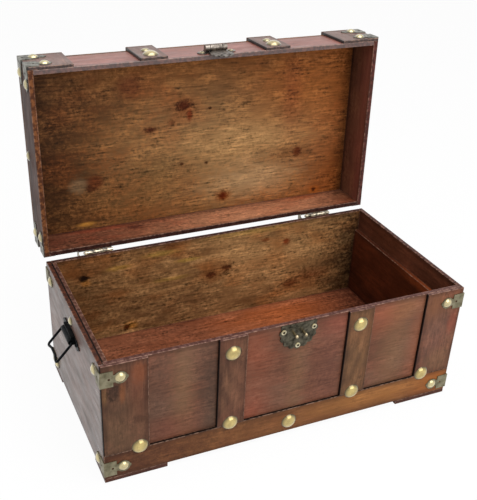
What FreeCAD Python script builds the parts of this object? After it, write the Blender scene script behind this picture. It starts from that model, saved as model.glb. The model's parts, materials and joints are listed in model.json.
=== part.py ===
"""Wooden treasure chest, shown open: strapped case and lid, dome studs, brackets, hasp and side handles.

Millimetres. X runs across the front, the front faces -Y and Z is up. The origin lies on the floor under the
middle of the case. The lid is drawn closed, and its placement swings it open about the hinge axis.
"""
import FreeCAD, Part
import math
import os
import re
import Sketcher

sizes = {
    # Case and lid boards
    "chest_width": 450,
    "chest_depth": 232,
    "base_height": 157,
    "lid_height": 54,
    "seam_gap": 0.5,
    "open_angle": 92,
    "board_thick": 5.5,
    "liner_thick": 5.5,
    "right_liner_drop": 29.5,
    "back_thick": 6,
    "floor_level": 32,
    "floor_thick": 8,
    "lid_wall": 6,
    "lid_top_thick": 5,
    "edge_ease": 0.7,
    # Straps, band and feet
    "strap_thick": 3.5,
    "corner_strap_width": 52,
    "mid_strap_width": 34,
    "mid_strap_pitch": 160,
    "mid_strap_shift": 3.5,
    "lid_strap_shift": 1.5,
    "band_height": 32.5,
    "foot_height": 5.5,
    "foot_length": 73,
    "foot_depth": 40,
    # Dome studs and nails
    "shank_radius": 1.2,
    "shank_length": 4,
    "shank_clearance": 0.05,
    "hole_relief": 0.3,
    "stud_diameter": 19.5,
    "stud_rise": 4.5,
    "stud_above_band": 2.5,
    "stud_below_rim": 20,
    "stud_strap_inset": 11,
    "band_stud_level": 19.7,
    "side_stud_level": 141,
    "lid_stud_level": 14,
    "lid_nail_level": 33,
    "lid_end_stud_level": 43,
    "top_stud_inset": 50,
    "nail_diameter": 12,
    "nail_rise": 2.8,
    "tack_diameter": 5,
    "tack_rise": 1.8,
    # Corner brackets
    "bracket_thick": 1,
    "bracket_height": 19.5,
    "bracket_plate": 13.5,
    "bracket_waist": 9,
    "bracket_eye": 7.4,
    "bracket_lobe": 2.4,
    "bracket_lobe_reach": 27.8,
    "nail_reach": 21.5,
    "far_nail_reach": 15.5,
    "bracket_hole_pitch": 12.5,
    "bracket_hole_radius": 1.3,
    "base_bracket_drop": 17,
    "base_bracket_level": 19,
    "lid_bracket_inset": 11.5,
    # Hinges
    "hinge_inset": 68.75,
    "hinge_shift": 1.8,
    "hinge_standoff": 3.3,
    "knuckle_radius": 2.2,
    "barrel_length": 35,
    "lid_knuckle_length": 12,
    "knuckle_gap": 0.3,
    "pin_radius": 1,
    "pin_clearance": 0.05,
    "pin_head_radius": 1.7,
    "pin_head_thick": 1,
    "leaf_thick": 0.8,
    "leaf_height": 18,
    "screw_spread": 18,
    "screw_drop": 12,
    "stop_gap": 7,
    "stop_reach": 6,
    "stop_clearance": 0.3,
    "stop_rise": 8,
    # Catch on the case
    "lock_shift": 3.5,
    "lock_sheet": 1.2,
    "catch_margin": 1,
    "catch_radius": 22,
    "catch_centre_drop": 10,
    "catch_lobe": 4.2,
    "catch_lobe_ring": 19.8,
    "catch_rivet_spread": 38,
    "catch_rivet_drop": 8,
    "catch_rivet_low": 29,
    "prong_spread": 11.5,
    "prong_drop": 13.5,
    "prong_radius": 1.8,
    "prong_tip_radius": 2.2,
    "prong_reach": 6.5,
    "prong_tail": 4,
    # Eyelet rivets
    "eyelet_bore": 1.5,
    "eyelet_barrel": 2,
    "eyelet_flange": 3.1,
    "eyelet_lip": 2.5,
    "eyelet_rise": 0.5,
    "eyelet_tail": 4,
    # Hasp on the lid
    "hasp_axis_level": 13,
    "hasp_standoff": 5.4,
    "hasp_knuckle_radius": 3.8,
    "hasp_pin_radius": 1.4,
    "hasp_barrel_length": 28,
    "flap_knuckle_length": 15,
    "hasp_knuckle_gap": 0.8,
    "hasp_plate_width": 24,
    "hasp_plate_low": 3,
    "hasp_plate_top": 23,
    "hasp_wing_spread": 37,
    "hasp_wing_level": 10.7,
    "hasp_wing_radius": 6,
    "hasp_wing_waist": 7,
    "hasp_crown_radius": 6,
    "flap_neck_width": 18,
    "flap_neck_gap": 0.8,
    "flap_centre_drop": 6.5,
    "flap_radius": 12.5,
    "flap_lobe": 3,
    "flap_lobe_ring": 11.5,
    "flap_hole_radius": 2.9,
    # Side handles
    "handle_drop": 33,
    "handle_plate_thick": 1.2,
    "handle_plate_height": 12,
    "handle_eye_spread": 48,
    "handle_eye_radius": 6.5,
    "handle_tip_radius": 2.4,
    "handle_tip_spread": 64,
    "bail_standoff": 5,
    "bail_wire_radius": 1.5,
    "bail_clearance": 0.05,
    "bail_width": 39,
    "bail_drop": 28.5,
    "bail_dip": 3,
    "bail_grip": 16,
    "bail_bend": 2.6,
    "bail_pivot_spread": 24,
    "bail_lean": 42,
    "sleeve_length": 33,
    "sleeve_radius": 3.6,
    "sleeve_hood": 7,
}

doc = FreeCAD.newDocument("TreasureChest")
sheet = doc.addObject("Spreadsheet::Sheet", "Sizes")
for row, (size_name, size_value) in enumerate(sizes.items(), start=1):
    sheet.set(f"A{row}", size_name)
    sheet.set(f"B{row}", str(size_value))
    sheet.setAlias(f"B{row}", size_name)
doc.recompute()

# Planes and axes that many pieces share
FRONT = "(-chest_depth / 2)"
BACK = "(chest_depth / 2)"
LEFT = "(-chest_width / 2)"
RIGHT = "(chest_width / 2)"
PANEL = "(strap_thick - chest_depth / 2)"
PANEL_BACK = "(strap_thick + board_thick - chest_depth / 2)"
BAND_TOP = "(foot_height + band_height)"
LID_RIM = "(base_height + seam_gap)"
LID_TOP = "(base_height + seam_gap + lid_height)"
LID_UNDER = "(base_height + seam_gap + lid_height - lid_top_thick)"
AXIS_Y = "(chest_depth / 2 + hinge_standoff)"
AXIS_Z = "(base_height + seam_gap / 2)"
HASP_Y = "(strap_thick - chest_depth / 2 - hasp_standoff)"
HASP_Z = "(base_height + seam_gap + hasp_axis_level)"
LOCK_FACE = "(strap_thick - chest_depth / 2 - lock_sheet)"
CATCH_TOP = "(base_height - catch_margin)"
HANDLE_Z = "(base_height - handle_drop)"
SHANK_HOLE = "(shank_radius + shank_clearance)"
OPEN = f"placement(vector(0; 0; 0); rotation(vector(1; 0; 0); -open_angle); vector(0; {AXIS_Y}; {AXIS_Z}))"

# Ways that a piece can face: its outward direction and the turn that brings its own +Z (or plan) there
FACING = {
    "front": ((0, -1, 0), "rotation(vector(1; 0; 0); 90)"),
    "back": ((0, 1, 0), "rotation(vector(1; 0; 0); -90)"),
    "left": ((-1, 0, 0), "rotation(vector(0; 1; 0); -90)"),
    "right": ((1, 0, 0), "rotation(vector(0; 1; 0); 90)"),
    "up": ((0, 0, 1), "rotation(vector(0; 0; 1); 0)"),
    "quarter": ((0, 0, 1), "rotation(vector(0; 0; 1); 90)"),
    "half": ((0, 0, 1), "rotation(vector(0; 0; 1); 180)"),
    "three_quarter": ((0, 0, 1), "rotation(vector(0; 0; 1); 270)"),
}

nodes = []


def formula(text):
    """The expression with each size written as a cell of the sheet."""
    return re.sub(r"[a-z_]+", lambda word: ("Sizes." if word[0] in sizes else "") + word[0], text)


def at(spot, sunk="0"):
    """Placement expression of a spot (x, y, z, facing), drawn back into the face by a depth."""
    outward, turn = FACING[spot[3]]
    place = "; ".join(f"{spot[axis]} - ({outward[axis]}) * ({sunk})" for axis in range(3))
    return f"placement(vector({place}); {turn})"


def keep(label, thing, swing=None):
    """Names a finished sub-part and, where a placement is given, swings it into its resting position."""
    thing.Label = label
    if swing:
        thing.setExpression("Placement", formula(swing))
    nodes.append(thing)


def block(name, low, high):
    """A rectangular block between two opposite corners."""
    solid = doc.addObject("Part::Box", name)
    for axis, side in enumerate(("Length", "Width", "Height")):
        solid.setExpression(side, formula(f"({high[axis]}) - ({low[axis]})"))
        solid.setExpression("Placement.Base." + "xyz"[axis], formula(low[axis]))
    return solid


def peg(name, radius, length, spot, sunk="0"):
    """A round bar that runs outward from a spot."""
    solid = doc.addObject("Part::Cylinder", name)
    solid.setExpression("Radius", formula(radius))
    solid.setExpression("Height", formula(length))
    solid.setExpression("Placement", formula(at(spot, sunk)))
    return solid


def gathered(name, pieces):
    """Several solids held together as one group."""
    group = doc.addObject("Part::Compound", name)
    group.Links = pieces
    return group


def joined(name, pieces):
    """Several solids made into one."""
    solid = doc.addObject("Part::MultiFuse", name)
    solid.Shapes = pieces
    solid.Refine = True
    return solid


def bored(name, solid, tools):
    """A solid with tools cut out of it."""
    result = doc.addObject("Part::Cut", name)
    result.Base = solid
    result.Tool = tools[0] if len(tools) == 1 else gathered(name + "_tools", tools)
    return result


def eased(solid):
    """A block with its twelve edges rounded over."""
    result = doc.addObject("Part::Fillet", solid.Name + "_eased")
    result.Base = solid
    result.Edges = [(edge, sizes["edge_ease"], sizes["edge_ease"]) for edge in range(1, 13)]
    return result


def board(label, low, high, holes=None, swing=None):
    """A sub-part made of one board with eased edges and the fastener holes of its face."""
    piece = eased(block(label + "_block", low, high))
    if holes:
        piece = bored(label + "_bored", piece, holes)
    keep(label, piece, swing)


def shank_holes(name, spots):
    """Pilot holes for nails and studs at a list of spots."""
    depth = "shank_length + hole_relief"
    length = "shank_length + 2 * hole_relief"
    tools = [peg(f"{name}_{count}", SHANK_HOLE, length, spot, depth) for count, spot in enumerate(spots)]
    return gathered(name, tools)


def copies(name, master, spots):
    """A group of separate solids, one copy of the master at each spot."""
    links = []
    for count, spot in enumerate(spots):
        link = doc.addObject("App::Link", f"{name}_{count}")
        link.LinkedObject = master
        link.setExpression("Placement", formula(at(spot)))
        links.append(link)
    return gathered(name, links)


def facing(spots, way):
    """The spots of a list that face one way."""
    return [spot for spot in spots if spot[3] == way]


def dome_nail(name, diameter, rise):
    """Turned nail: a domed head that sits on the XY plane over a plain shank."""
    body = doc.addObject("PartDesign::Body", name)
    sketch = body.newObject("Sketcher::SketchObject", name + "_outline")
    plane = next(datum for datum in body.Origin.OriginFeatures if datum.Role == "XZ_Plane")
    sketch.AttachmentSupport = [(plane, "")]
    sketch.MapMode = "FlatFace"
    head = sizes[diameter] / 2
    high = sizes[rise]
    shank = sizes["shank_radius"]
    long = sizes["shank_length"]
    dome = (head * head + high * high) / (2 * high)
    corners = [(0, -long), (shank, -long), (shank, 0), (head, 0), (0, high)]
    points = [FreeCAD.Vector(x, y, 0) for x, y in corners]
    for start, end in ((0, 1), (1, 2), (2, 3)):
        sketch.addGeometry(Part.LineSegment(points[start], points[end]))
    circle = Part.Circle(FreeCAD.Vector(0, high - dome, 0), FreeCAD.Vector(0, 0, 1), dome)
    sketch.addGeometry(Part.ArcOfCircle(circle, math.atan2(dome - high, head), math.pi / 2))
    sketch.addGeometry(Part.LineSegment(points[4], points[0]))
    rules = [("Coincident", 0, 2, 1, 1), ("Coincident", 1, 2, 2, 1), ("Coincident", 2, 2, 3, 1)]
    rules += [("Coincident", 3, 2, 4, 1), ("Coincident", 4, 2, 0, 1), ("Horizontal", 0), ("Vertical", 1)]
    rules += [("PointOnObject", 0, 1, -2), ("PointOnObject", 3, 2, -2), ("PointOnObject", 3, 3, -2)]
    rules += [("PointOnObject", 1, 2, -1), ("PointOnObject", 2, 2, -1)]
    for rule in rules:
        sketch.addConstraint(Sketcher.Constraint(*rule))
    spans = [
        ("shank", ("DistanceX", 0, 1, 0, 2, shank), "shank_radius"),
        ("length", ("DistanceY", 1, 1, 1, 2, long), "shank_length"),
        ("head", ("DistanceX", -1, 1, 2, 2, head), f"{diameter} / 2"),
        ("rise", ("DistanceY", -1, 1, 3, 2, high), rise),
    ]
    for span, rule, text in spans:
        number = sketch.addConstraint(Sketcher.Constraint(*rule))
        sketch.renameConstraint(number, span)
        sketch.setExpression("Constraints." + span, formula(text))
    turn = body.newObject("PartDesign::Revolution", name + "_turn")
    turn.Profile = sketch
    turn.ReferenceAxis = (sketch, ["V_Axis"])
    turn.Angle = 360
    body.Tip = turn
    return body


# Spots of the studs and nails on the case
strap_lines = [f"(({side}) * mid_strap_pitch / 2 + mid_strap_shift)" for side in (-1, 1)]
lid_strap_lines = [f"(({side}) * mid_strap_pitch / 2 + lid_strap_shift)" for side in (-1, 1)]
strap_inner = [f"(({side}) * (chest_width / 2 - corner_strap_width + stud_strap_inset))" for side in (-1, 1)]
low_level = f"({BAND_TOP} + stud_above_band)"
front_studs = [(x, FRONT, "base_height - stud_below_rim", "front") for x in strap_lines]
front_studs += [(x, FRONT, low_level, "front") for x in strap_lines + strap_inner]
front_studs += [("0", FRONT, "band_stud_level", "front")]
side_studs = [(LEFT, "0", "side_stud_level", "left"), (RIGHT, "0", "side_stud_level", "right")]


def bracket_spots(levels, reach):
    """Spots of the brackets and of their nails, a reach from the four upright edges, at a list of levels."""
    turns = {(-1, -1): "up", (1, -1): "quarter", (1, 1): "half", (-1, 1): "three_quarter"}
    plates = []
    nails = []
    for level in levels:
        for (side, face), turn in turns.items():
            across = "left" if side < 0 else "right"
            along = "front" if face < 0 else "back"
            plates.append((f"({side}) * chest_width / 2", f"({face}) * chest_depth / 2", level, turn))
            inner_x = f"({side}) * (chest_width / 2 - {reach})"
            outer_y = f"({face}) * (chest_depth / 2 + bracket_thick)"
            outer_x = f"({side}) * (chest_width / 2 + bracket_thick)"
            inner_y = f"({face}) * (chest_depth / 2 - {reach})"
            nails += [(inner_x, outer_y, level, along), (outer_x, inner_y, level, across)]
    return plates, nails


base_levels = ["base_height - base_bracket_drop", "base_bracket_level"]
base_brackets, base_nails = bracket_spots(base_levels, "nail_reach")
near_brackets, near_nails = bracket_spots([f"{LID_RIM} + lid_bracket_inset"], "nail_reach")
far_brackets, far_nails = bracket_spots([f"{LID_TOP} - lid_bracket_inset"], "far_nail_reach")

hinge_lines = [f"(({side}) * (chest_width / 2 - hinge_inset) - hinge_shift)" for side in (-1, 1)]
screw_lines = [f"{x} + ({side}) * screw_spread / 2" for x in hinge_lines for side in (-1, 1)]
base_screws = [(x, f"{BACK} + leaf_thick", f"{AXIS_Z} - screw_drop", "back") for x in screw_lines]
lid_screws = [(x, f"{BACK} + leaf_thick", f"{AXIS_Z} + screw_drop", "back") for x in screw_lines]

handle_tacks = []
for side, way in ((-1, "left"), (1, "right")):
    for end in (-1, 1):
        plate_x = f"({side}) * (chest_width / 2 + handle_plate_thick)"
        handle_tacks.append((plate_x, f"({end}) * handle_eye_spread / 2", HANDLE_Z, way))

catch_eyelets = [(f"lock_shift + ({side}) * catch_rivet_spread / 2", LOCK_FACE,
                  f"{CATCH_TOP} - catch_rivet_drop", "front") for side in (-1, 1)]
catch_eyelets += [("lock_shift", LOCK_FACE, f"{CATCH_TOP} - catch_rivet_low", "front")]
prongs = [(f"lock_shift + ({side}) * prong_spread / 2", LOCK_FACE, "base_height - prong_drop", "front")
          for side in (-1, 1)]
hasp_eyelets = [(f"lock_shift + ({side}) * hasp_wing_spread / 2", LOCK_FACE,
                 f"{LID_RIM} + hasp_wing_level", "front") for side in (-1, 1)]

# Spots of the studs and nails on the lid
lid_front_studs = [(x, FRONT, f"{LID_RIM} + lid_stud_level", "front") for x in lid_strap_lines]
strap_nails = [(x, FRONT, f"{LID_RIM} + lid_nail_level", "front") for x in lid_strap_lines]
lid_nails = near_nails + far_nails + strap_nails
corner_lines = [f"(({side}) * (chest_width / 2 - corner_strap_width / 2))" for side in (-1, 1)]
lid_top_studs = [(x, f"({face}) * (chest_depth / 2 - top_stud_inset)", f"{LID_TOP} + strap_thick", "up")
                 for x in corner_lines + lid_strap_lines for face in (-1, 1)]
lid_end_studs = [(LEFT, "0", f"{LID_RIM} + lid_end_stud_level", "left"),
                 (RIGHT, "0", f"{LID_RIM} + lid_end_stud_level", "right")]

# Holes that the fasteners of each face need
base_spots = front_studs + side_studs + base_nails + base_screws + handle_tacks
lid_spots = lid_front_studs + lid_top_studs + lid_end_studs + lid_nails + lid_screws
base_holes = {way: shank_holes("base_holes_" + way, facing(base_spots, way))
              for way in ("front", "back", "left", "right")}
lid_holes = {way: shank_holes("lid_holes_" + way, facing(lid_spots, way))
             for way in ("front", "back", "left", "right", "up")}


def tail_holes(name, radius, tail, spots):
    """Holes for rivet barrels and prong tails at a list of spots."""
    depth = f"{tail} + hole_relief"
    length = f"{tail} + 2 * hole_relief"
    tools = [peg(f"{name}_{count}", f"{radius} + shank_clearance", length, spot, depth)
             for count, spot in enumerate(spots)]
    return gathered(name, tools)


catch_holes = [tail_holes("catch_eyelet_holes", "eyelet_barrel", "eyelet_tail", catch_eyelets),
               tail_holes("prong_holes", "prong_radius", "prong_tail", prongs)]
hasp_holes = [tail_holes("hasp_eyelet_holes", "eyelet_barrel", "eyelet_tail", hasp_eyelets)]

# Case boards: the front and back stand between the sides, the liners stand on the bottom panel
inner_left = f"{LEFT} + board_thick"
inner_right = f"{RIGHT} - board_thick"
inner_back = f"{BACK} - back_thick"
board("base_front_panel", (inner_left, PANEL, "foot_height"), (inner_right, PANEL_BACK, "base_height"),
      [base_holes["front"]] + catch_holes)
board("base_back_panel", (inner_left, inner_back, "foot_height"), (inner_right, BACK, "base_height"),
      [base_holes["back"]])
board("base_left_side", (LEFT, PANEL, "foot_height"), (inner_left, BACK, "base_height"), [base_holes["left"]])
board("base_right_side", (inner_right, PANEL, "foot_height"), (RIGHT, BACK, "base_height"),
      [base_holes["right"]])
board("base_bottom_panel", (inner_left, PANEL_BACK, "floor_level - floor_thick"),
      (inner_right, inner_back, "floor_level"))
board("base_left_liner", (inner_left, PANEL_BACK, "floor_level"),
      (f"{inner_left} + liner_thick", inner_back, "base_height"))
board("base_right_liner", (f"{inner_right} - liner_thick", PANEL_BACK, "floor_level"),
      (inner_right, inner_back, "base_height - right_liner_drop"))

# Front straps stand on the bottom band, the band and the boards stand on four feet
board("front_bottom_band", (LEFT, FRONT, "foot_height"), (RIGHT, PANEL, BAND_TOP), [base_holes["front"]])


def strap_sides(lines):
    """Left and right edges of the four straps, for the middle lines of the two narrow ones."""
    return {
        "left_corner": (LEFT, f"{LEFT} + corner_strap_width"),
        "left_mid": (f"{lines[0]} - mid_strap_width / 2", f"{lines[0]} + mid_strap_width / 2"),
        "right_mid": (f"{lines[1]} - mid_strap_width / 2", f"{lines[1]} + mid_strap_width / 2"),
        "right_corner": (f"{RIGHT} - corner_strap_width", RIGHT),
    }


for strap, (low_x, high_x) in strap_sides(strap_lines).items():
    board(f"base_{strap}_strap", (low_x, FRONT, BAND_TOP), (high_x, PANEL, "base_height"),
          [base_holes["front"]])
foot_sides = {"left": (LEFT, f"{LEFT} + foot_length"), "right": (f"{RIGHT} - foot_length", RIGHT)}
for across, (low_x, high_x) in foot_sides.items():
    board(f"front_{across}_foot", (low_x, FRONT, "0"), (high_x, f"{FRONT} + foot_depth", "foot_height"))
    board(f"back_{across}_foot", (low_x, f"{BACK} - foot_depth", "0"), (high_x, BACK, "foot_height"))

# Lid boards: four walls under the top panel, straps down the front and over the top
lid_left = f"{LEFT} + lid_wall"
lid_right = f"{RIGHT} - lid_wall"
board("lid_front_panel", (lid_left, PANEL, LID_RIM), (lid_right, PANEL_BACK, LID_UNDER),
      [lid_holes["front"]] + hasp_holes, OPEN)
board("lid_back_panel", (lid_left, f"{BACK} - lid_wall", LID_RIM), (lid_right, BACK, LID_UNDER),
      [lid_holes["back"]], OPEN)
board("lid_left_side", (LEFT, PANEL, LID_RIM), (lid_left, BACK, LID_UNDER), [lid_holes["left"]], OPEN)
board("lid_right_side", (lid_right, PANEL, LID_RIM), (RIGHT, BACK, LID_UNDER), [lid_holes["right"]], OPEN)
board("lid_top_panel", (LEFT, PANEL, LID_UNDER), (RIGHT, BACK, LID_TOP), [lid_holes["up"]], OPEN)
for strap, (low_x, high_x) in strap_sides(lid_strap_lines).items():
    board(f"lid_{strap}_strap", (low_x, FRONT, LID_RIM), (high_x, PANEL, LID_TOP), [lid_holes["front"]], OPEN)
    board(f"lid_top_{strap}_strap", (low_x, FRONT, LID_TOP), (high_x, BACK, f"{LID_TOP} + strap_thick"),
          [lid_holes["up"]], OPEN)

# Dome studs, bracket nails and tacks
stud = dome_nail("stud", "stud_diameter", "stud_rise")
nail = dome_nail("nail", "nail_diameter", "nail_rise")
tack = dome_nail("tack", "tack_diameter", "tack_rise")
keep("front_studs", copies("front_stud_set", stud, front_studs))
keep("side_studs", copies("side_stud_set", nail, side_studs))
keep("base_bracket_nails", copies("base_nail_set", nail, base_nails))
keep("handle_nails", copies("handle_tack_set", tack, handle_tacks))
keep("hinge_base_screws", copies("base_screw_set", tack, base_screws))
keep("lid_front_studs", copies("lid_front_stud_set", stud, lid_front_studs), OPEN)
keep("lid_top_studs", copies("lid_top_stud_set", stud, lid_top_studs), OPEN)
keep("lid_end_studs", copies("lid_end_stud_set", nail, lid_end_studs), OPEN)
keep("lid_bracket_nails", copies("lid_nail_set", nail, lid_nails), OPEN)
keep("hinge_lid_screws", copies("lid_screw_set", tack, lid_screws), OPEN)


def corner_bracket(name, nail):
    """Two waisted legs, each with an eye for its nail at a given reach and a small lobe at the tip."""
    legs = []
    holes = []
    for leg, way, run in (("front", "front", 0), ("side", "left", 1)):
        low = ["-bracket_thick", "-bracket_thick", "-bracket_height / 2"]
        high = ["0", "0", "bracket_height / 2"]
        high[run] = "bracket_plate"
        legs.append(block(f"{name}_{leg}_plate", low, high))
        low[2] = "-bracket_waist / 2"
        high[2] = "bracket_waist / 2"
        high[run] = "bracket_lobe_reach"
        legs.append(block(f"{name}_{leg}_waist", low, high))
        for feature, radius, reach in (("eye", "bracket_eye", nail),
                                       ("lobe", "bracket_lobe", "bracket_lobe_reach")):
            spot = ["0", "0", "0", way]
            spot[run] = reach
            legs.append(peg(f"{name}_{leg}_{feature}", radius, "bracket_thick", spot))
        for hole, radius, reach in (("nail", SHANK_HOLE, nail),
                                    ("plain", "bracket_hole_radius", f"{nail} - bracket_hole_pitch")):
            spot = ["0", "0", "0", way]
            spot[run] = reach
            length = "bracket_thick + 2 * hole_relief"
            holes.append(peg(f"{name}_{leg}_{hole}_hole", radius, length, spot, "hole_relief"))
    return bored(name, joined(name + "_legs", legs), holes)


# Corner brackets: those along the far edge of the lid have their nails nearer the corner
bracket = corner_bracket("bracket", "nail_reach")
far_bracket = corner_bracket("far_bracket", "far_nail_reach")
keep("base_brackets", copies("base_bracket_set", bracket, base_brackets))
lid_bracket_sets = [copies("near_bracket_set", bracket, near_brackets),
                    copies("far_bracket_set", far_bracket, far_brackets)]
keep("lid_brackets", gathered("lid_bracket_sets", lid_bracket_sets), OPEN)

# Hinge: the case leaf holds the two outer knuckles and the pin, the lid leaf the middle one and a stop arm
barrel_end = "barrel_length / 2"
lid_end = "lid_knuckle_length / 2"
outer_start = f"{lid_end} + knuckle_gap"
bend = "(knuckle_radius - leaf_thick)"
pin_hole = peg("hinge_pin_hole", "pin_radius + pin_clearance", "barrel_length + 2 * hole_relief",
               ("0", AXIS_Y, AXIS_Z, "right"), f"{barrel_end} + hole_relief")
leaf_back = f"{BACK} + leaf_thick"
leaf = [block("case_leaf_plate", (f"-{barrel_end}", BACK, f"{AXIS_Z} - leaf_height"),
              (barrel_end, leaf_back, f"{AXIS_Z} - {bend}"))]
for count, (low_x, high_x) in enumerate(((f"-{barrel_end}", f"-({outer_start})"), (outer_start, barrel_end))):
    leaf.append(block(f"case_leaf_web_{count}", (low_x, BACK, f"{AXIS_Z} - knuckle_radius"),
                      (high_x, AXIS_Y, f"{AXIS_Z} - {bend}")))
    leaf.append(peg(f"case_knuckle_{count}", "knuckle_radius", f"{high_x} - ({low_x})",
                    (low_x, AXIS_Y, AXIS_Z, "right")))
case_screw_holes = shank_holes("case_leaf_holes", [(f"({side}) * screw_spread / 2", leaf_back,
                                                    f"{AXIS_Z} - screw_drop", "back") for side in (-1, 1)])
case_leaf = bored("case_leaf", joined("case_leaf_body", leaf), [pin_hole, case_screw_holes])

stop_right = f"-({barrel_end} + stop_gap)"
stop_left = f"{stop_right} - leaf_thick"
stop_tip = f"{AXIS_Z} - hinge_standoff + stop_clearance"
leaf = [block("lid_leaf_plate", (stop_left, BACK, LID_RIM),
              (barrel_end, leaf_back, f"{AXIS_Z} + leaf_height")),
        block("lid_leaf_web", (f"-{lid_end}", BACK, f"{AXIS_Z} + {bend}"),
              (lid_end, AXIS_Y, f"{AXIS_Z} + knuckle_radius")),
        peg("lid_knuckle", "knuckle_radius", "lid_knuckle_length", (f"-{lid_end}", AXIS_Y, AXIS_Z, "right")),
        block("stop_arm", (stop_left, BACK, f"{AXIS_Z} + {bend}"),
              (stop_right, f"{AXIS_Y} + stop_reach", f"{AXIS_Z} + stop_rise")),
        block("stop_toe", (stop_left, f"{AXIS_Y} + leaf_thick", stop_tip),
              (stop_right, f"{AXIS_Y} + stop_reach", f"{AXIS_Z} + stop_rise"))]
lid_screw_holes = shank_holes("lid_leaf_holes", [(f"({side}) * screw_spread / 2", leaf_back,
                                                  f"{AXIS_Z} + screw_drop", "back") for side in (-1, 1)])
lid_leaf = bored("lid_leaf", joined("lid_leaf_body", leaf), [pin_hole, lid_screw_holes])

pin_run = "(barrel_length / 2 + knuckle_gap)"
pin = joined("pin", [peg("pin_shaft", "pin_radius", f"2 * {pin_run}",
                         (f"-{pin_run}", AXIS_Y, AXIS_Z, "right")),
                     peg("pin_right_head", "pin_head_radius", "pin_head_thick",
                         (pin_run, AXIS_Y, AXIS_Z, "right")),
                     peg("pin_left_head", "pin_head_radius", "pin_head_thick",
                         (f"-{pin_run}", AXIS_Y, AXIS_Z, "left"))])
for across, x in zip(("left", "right"), hinge_lines):
    spot = [(x, "0", "0", "up")]
    keep(f"{across}_hinge_base_leaf", copies(f"{across}_case_leaf_set", case_leaf, spot))
    keep(f"{across}_hinge_pin", copies(f"{across}_pin_set", pin, spot))
    keep(f"{across}_hinge_lid_leaf", copies(f"{across}_lid_leaf_set", lid_leaf, spot), OPEN)

# Eyelet rivet: a thin barrel with a rolled flange
eyelet_body = joined("eyelet_body", [
    peg("eyelet_tube", "eyelet_barrel", "eyelet_tail + eyelet_rise", ("0", "0", "0", "up"), "eyelet_tail"),
    peg("eyelet_rim", "eyelet_flange", "eyelet_rise", ("0", "0", "0", "up")),
    peg("eyelet_roll", "eyelet_lip", "2 * eyelet_rise", ("0", "0", "0", "up"))])
eyelet_hole = peg("eyelet_hole", "eyelet_bore", "eyelet_tail + 2 * eyelet_rise + 2 * hole_relief",
                  ("0", "0", "0", "up"), "eyelet_tail + hole_relief")
eyelet = bored("eyelet", eyelet_body, [eyelet_hole])
keep("catch_rivets", copies("catch_eyelet_set", eyelet, catch_eyelets))
keep("hasp_rivets", copies("hasp_eyelet_set", eyelet, hasp_eyelets), OPEN)

# Catch plate: a scalloped disc cut straight along the rim, with two prongs
catch_centre = f"{CATCH_TOP} - catch_centre_drop"
catch_disc = [peg("catch_disc", "catch_radius", "lock_sheet", ("lock_shift", PANEL, catch_centre, "front"))]
for lobe in range(-1, 10):
    angle = f"({lobe} * 22.5)"
    lobe_x = f"lock_shift + catch_lobe_ring * cos({angle})"
    lobe_z = f"{catch_centre} - catch_lobe_ring * sin({angle})"
    lobe_spot = (lobe_x, PANEL, lobe_z, "front")
    catch_disc.append(peg(f"catch_lobe_{lobe + 1}", "catch_lobe", "lock_sheet", lobe_spot))
trim_low = ("lock_shift - 2 * catch_radius", f"{LOCK_FACE} - hole_relief", CATCH_TOP)
trim_high = ("lock_shift + 2 * catch_radius", f"{PANEL} + hole_relief", f"{CATCH_TOP} + 2 * catch_radius")
catch_trim = block("catch_trim", trim_low, trim_high)
keep("catch_plate", bored("catch", joined("catch_body", catch_disc), [catch_trim] + catch_holes))
prong_tip = doc.addObject("Part::Sphere", "prong_tip")
prong_tip.setExpression("Radius", formula("prong_tip_radius"))
prong_tip.setExpression("Placement.Base.z", formula("prong_reach"))
prong_post = peg("prong_post", "prong_radius", "prong_tail + prong_reach", ("0", "0", "0", "up"),
                 "prong_tail")
keep("catch_prongs", copies("prong_set", joined("prong", [prong_post, prong_tip]), prongs))

# Hasp: a winged plate with two outer knuckles, a pin, and a scalloped flap that drops over the prongs
hasp_left = "(lock_shift - hasp_barrel_length / 2)"
hasp_right = "(lock_shift + hasp_barrel_length / 2)"
flap_left = "(lock_shift - flap_knuckle_length / 2)"
flap_right = "(lock_shift + flap_knuckle_length / 2)"
hasp_low = f"{LID_RIM} + hasp_plate_low"
hasp_high = f"{LID_RIM} + hasp_plate_top"
wing_low = f"{LID_RIM} + hasp_wing_level - hasp_wing_waist / 2"
wing_high = f"{LID_RIM} + hasp_wing_level + hasp_wing_waist / 2"
plate = [block("hasp_field", ("lock_shift - hasp_plate_width / 2", LOCK_FACE, hasp_low),
               ("lock_shift + hasp_plate_width / 2", PANEL, hasp_high)),
         block("hasp_wing_bar", ("lock_shift - hasp_wing_spread / 2", LOCK_FACE, wing_low),
               ("lock_shift + hasp_wing_spread / 2", PANEL, wing_high)),
         peg("hasp_crown", "hasp_crown_radius", "lock_sheet", ("lock_shift", PANEL, hasp_high, "front"))]
outer_knuckles = ((hasp_left, f"{flap_left} - hasp_knuckle_gap"),
                  (f"{flap_right} + hasp_knuckle_gap", hasp_right))
for count, (low_x, high_x) in enumerate(outer_knuckles):
    wing_x, wing_y, wing_z, wing_way = hasp_eyelets[count]
    wing_spot = (wing_x, PANEL, wing_z, wing_way)
    plate.append(peg(f"hasp_wing_{count}", "hasp_wing_radius", "lock_sheet", wing_spot))
    plate.append(block(f"hasp_foot_{count}", (low_x, HASP_Y, HASP_Z),
                       (high_x, PANEL, f"{HASP_Z} + hasp_knuckle_radius")))
    plate.append(peg(f"hasp_knuckle_{count}", "hasp_knuckle_radius", f"{high_x} - ({low_x})",
                     (low_x, HASP_Y, HASP_Z, "right")))
hasp_bore = peg("hasp_bore", "hasp_pin_radius + pin_clearance", "hasp_barrel_length + 2 * hole_relief",
                (hasp_left, HASP_Y, HASP_Z, "right"), "hole_relief")
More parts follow.
